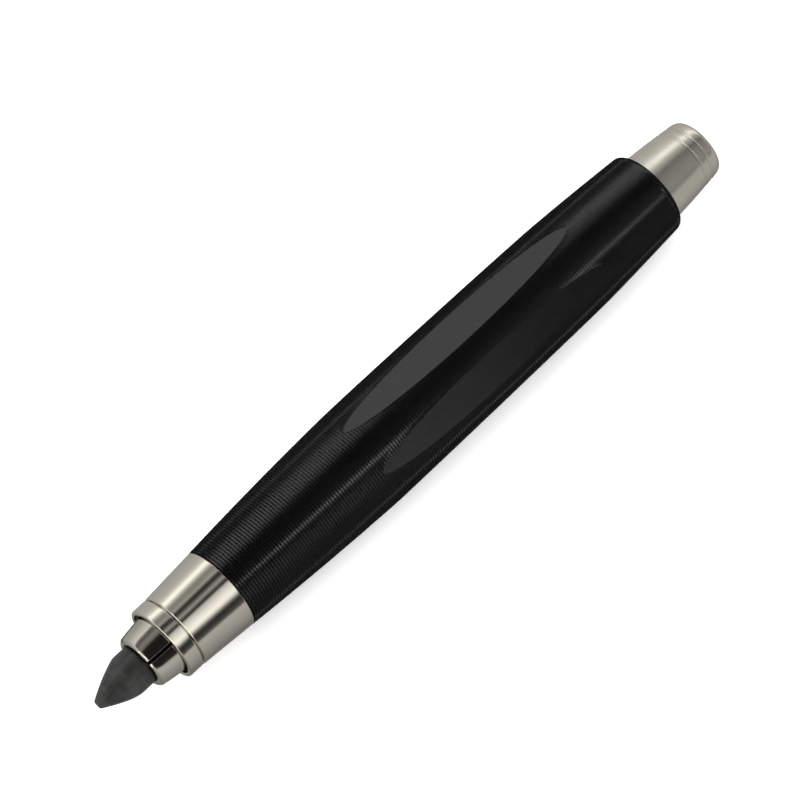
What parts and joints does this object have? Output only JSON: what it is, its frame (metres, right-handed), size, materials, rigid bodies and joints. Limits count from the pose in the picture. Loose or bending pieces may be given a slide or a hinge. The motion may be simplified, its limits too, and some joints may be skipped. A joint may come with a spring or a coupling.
{
  "type": "lead holder",
  "caption": "Clutch lead holder for 5.6 mm leads: ribbed black barrel with long shallow flats, plated nose with spring collet jaws, sharpened graphite lead and tapered push cap.",
  "frame": {"origin": "middle of the holder's box, on the long axis", "axes": "+X along the holder from the lead point to the push cap; +Z out of one barrel flat, and -Z out of the flat that it lies on"},
  "size_m": [0.107, 0.0144, 0.014],
  "materials": {
    "graphite": "satin",
    "nickel": "gloss",
    "satin_nickel": "satin",
    "brass": "satin",
    "spring_steel": "satin",
    "tool_steel": "satin",
    "black_barrel": "satin"
  },
  "bodies": {
    "holder": {"barrel": "black_barrel", "nose_cone": "nickel", "front_band": "nickel", "thread_bush": "brass", "inner_sleeve": "brass", "rear_bush": "brass", "spring_seat": "spring_steel", "return_spring": "spring_steel"},
    "plunger": {"collet_ring": "nickel", "push_tube": "brass", "spring_collar": "brass"},
    "lead": {"lead": "graphite"},
    "cap": {"push_cap": "satin_nickel", "cap_bush": "brass", "lead_pointer": "tool_steel"},
    "jaw_1": {"collet_jaw_1": "nickel"},
    "jaw_2": {"collet_jaw_2": "nickel"},
    "jaw_3": {"collet_jaw_3": "nickel"},
    "jaw_4": {"collet_jaw_4": "nickel"}
  },
  "joints": [
    {"name": "push", "type": "slide", "parent": "holder", "child": "plunger", "axis": [-1, 0, 0], "range_m": [0, 0.003], "stiffness_N_per_m": 280, "springref_m": -0.0125, "deforming": ["return_spring"]},
    {"name": "lead_feed", "type": "slide", "parent": "plunger", "child": "lead", "axis": [-1, 0, 0], "range_m": [-0.0076, 0.02]},
    {"name": "cap_draw", "type": "slide", "parent": "plunger", "child": "cap", "axis": [1, 0, 0], "range_m": [0, 0.012]},
    {"name": "jaw_1_spread", "type": "hinge", "parent": "plunger", "child": "jaw_1", "pos_m": [-0.0305, 0.00006, 0.00325], "axis": [0, 0.9998, -0.0175], "range_deg": [0, 1.3]},
    {"name": "jaw_2_spread", "type": "hinge", "parent": "plunger", "child": "jaw_2", "pos_m": [-0.0305, 0.00325, -0.00006], "axis": [0, -0.0175, -0.9998], "range_deg": [0, 1.3]},
    {"name": "jaw_3_spread", "type": "hinge", "parent": "plunger", "child": "jaw_3", "pos_m": [-0.0305, -0.00006, -0.00325], "axis": [0, -0.9998, 0.0175], "range_deg": [0, 1.3]},
    {"name": "jaw_4_spread", "type": "hinge", "parent": "plunger", "child": "jaw_4", "pos_m": [-0.0305, -0.00325, 0.00006], "axis": [0, 0.0175, 0.9998], "range_deg": [0, 1.3]}
  ],
  "couplings": [
    {"joint": "jaw_1_spread", "follows": "push", "rad_per_m": 7.2722},
    {"joint": "jaw_2_spread", "follows": "push", "rad_per_m": 7.2722},
    {"joint": "jaw_3_spread", "follows": "push", "rad_per_m": 7.2722},
    {"joint": "jaw_4_spread", "follows": "push", "rad_per_m": 7.2722}
  ]
}
